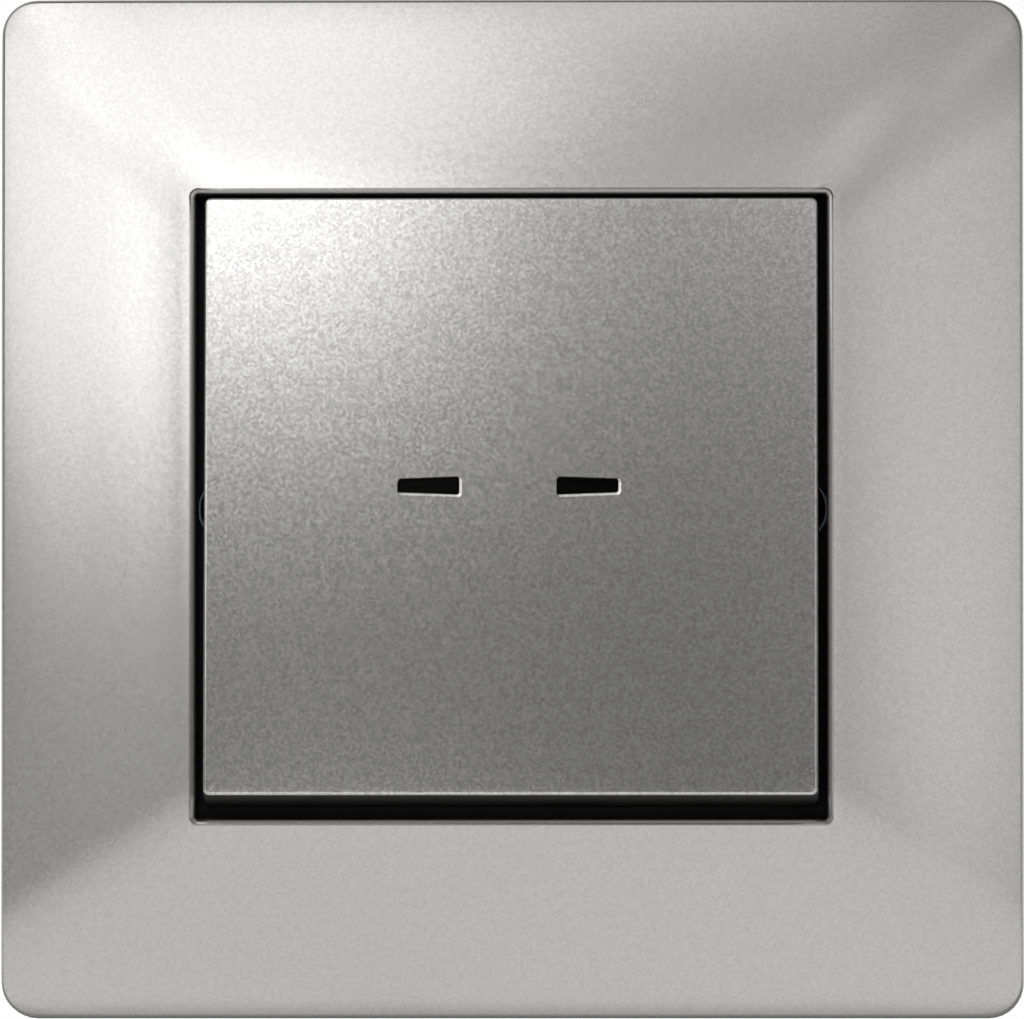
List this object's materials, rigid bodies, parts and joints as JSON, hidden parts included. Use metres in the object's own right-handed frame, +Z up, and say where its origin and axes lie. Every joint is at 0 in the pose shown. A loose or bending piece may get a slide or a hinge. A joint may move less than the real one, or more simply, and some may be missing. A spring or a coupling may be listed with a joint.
{
  "type": "push button light switch",
  "caption": "Flush-mounted light switch: square silver frame around a tilting push key with two narrow pilot windows, on a steel plate with its switching insert behind.",
  "frame": {"origin": "middle of the cover frame on the wall plane, between the box screws", "axes": "+X right seen from the room, +Y into the wall, +Z up; the key faces -Y"},
  "size_m": [0.082, 0.0359, 0.082],
  "materials": {
    "silver_lacquer": "aluminium-coloured metallic lacquer on moulded plastic, satin",
    "smoked_lens": "smoke-tinted clear plastic, polished",
    "black_carrier": "black moulded plastic, fine matt",
    "carriage_grey": "mid-grey moulded plastic, satin",
    "cover_grey": "grey moulded plastic, matt",
    "base_white": "off-white moulded thermoset, matt",
    "lamp_white": "white moulded plastic, matt",
    "release_orange": "orange moulded plastic, satin",
    "zinc_steel": "zinc-plated steel, satin",
    "spring_steel": "drawn spring steel, bright",
    "brass_strip": "stamped brass, bright",
    "tinned_strip": "tinned brass, satin",
    "silver_contact": "silver contact face, satin",
    "lamp_glass": "clear lamp glass"
  },
  "bodies": {
    "insert": {"cover_frame": "silver_lacquer", "frame_carrier": "black_carrier", "support_plate": "zinc_steel", "housing_cover": "cover_grey", "housing_base": "base_white", "housing_rivets": "brass_strip", "lamp_holder": "lamp_white", "pilot_lamp": "lamp_glass", "lamp_leads": "tinned_strip", "common_terminal_bar": "brass_strip", "switched_terminal_bar": "brass_strip", "fixed_contact": "silver_contact", "clamp_spring_left": "spring_steel", "clamp_spring_right": "spring_steel", "return_spring": "spring_steel", "contact_spring": "spring_steel"},
    "key": {"rocker_key": "silver_lacquer", "pilot_lens": "smoked_lens", "rocker_carriage": "carriage_grey"},
    "plunger": {"contact_plunger": "carriage_grey"},
    "contact_arm": {"contact_lever": "brass_strip", "moving_contact": "silver_contact"},
    "release_left": {"release_lever_left": "release_orange"},
    "release_right": {"release_lever_right": "release_orange"},
    "claw_left": {"claw_left": "zinc_steel"},
    "claw_right": {"claw_right": "zinc_steel"},
    "claw_screw_left": {"claw_screw_left": "zinc_steel"},
    "claw_screw_right": {"claw_screw_right": "zinc_steel"}
  },
  "joints": [
    {"name": "key_rock", "type": "hinge", "parent": "insert", "child": "key", "pos_m": [0, -0.0013, 0], "axis": [1, 0, 0], "range_deg": [0, 8], "stiffness_Nm_per_rad": 0.3, "springref_deg": -5.73, "deforming": ["return_spring"]},
    {"name": "plunger_slide", "type": "slide", "parent": "insert", "child": "plunger", "axis": [0, 1, 0], "range_m": [0, 0.00119]},
    {"name": "contact_rock", "type": "hinge", "parent": "insert", "child": "contact_arm", "pos_m": [-0.0065, 0.0078, 0], "axis": [0, 0, 1], "range_deg": [0, 10.5], "deforming": ["contact_spring"]},
    {"name": "release_press_left", "type": "slide", "parent": "insert", "child": "release_left", "axis": [0, -1, 0], "range_m": [0, 0.0012], "stiffness_N_per_m": 3000, "springref_m": -0.0003, "deforming": ["clamp_spring_left"]},
    {"name": "claw_screw_turn_left", "type": "hinge", "parent": "insert", "child": "claw_screw_left", "pos_m": [-0.0225, 0, 0], "axis": [0, 1, 0], "range_deg": [0, 800]},
    {"name": "claw_spread_left", "type": "hinge", "parent": "insert", "child": "claw_left", "pos_m": [-0.02, 0.0045, 0], "axis": [0, 0, 1], "range_deg": [0, 25]},
    {"name": "release_press_right", "type": "slide", "parent": "insert", "child": "release_right", "axis": [0, -1, 0], "range_m": [0, 0.0012], "stiffness_N_per_m": 3000, "springref_m": -0.0003, "deforming": ["clamp_spring_right"]},
    {"name": "claw_screw_turn_right", "type": "hinge", "parent": "insert", "child": "claw_screw_right", "pos_m": [0.0225, 0, 0], "axis": [0, 1, 0], "range_deg": [0, 800]},
    {"name": "claw_spread_right", "type": "hinge", "parent": "insert", "child": "claw_right", "pos_m": [0.02, 0.0045, 0], "axis": [0, 0, -1], "range_deg": [0, 25]}
  ],
  "couplings": [
    {"joint": "plunger_slide", "follows": "key_rock", "m_per_rad": 0.00845},
    {"joint": "contact_rock", "follows": "key_rock", "ratio": 1.3072},
    {"joint": "claw_spread_left", "follows": "claw_screw_turn_left", "ratio": 0.03125},
    {"joint": "claw_spread_right", "follows": "claw_screw_turn_right", "ratio": 0.03125}
  ]
}
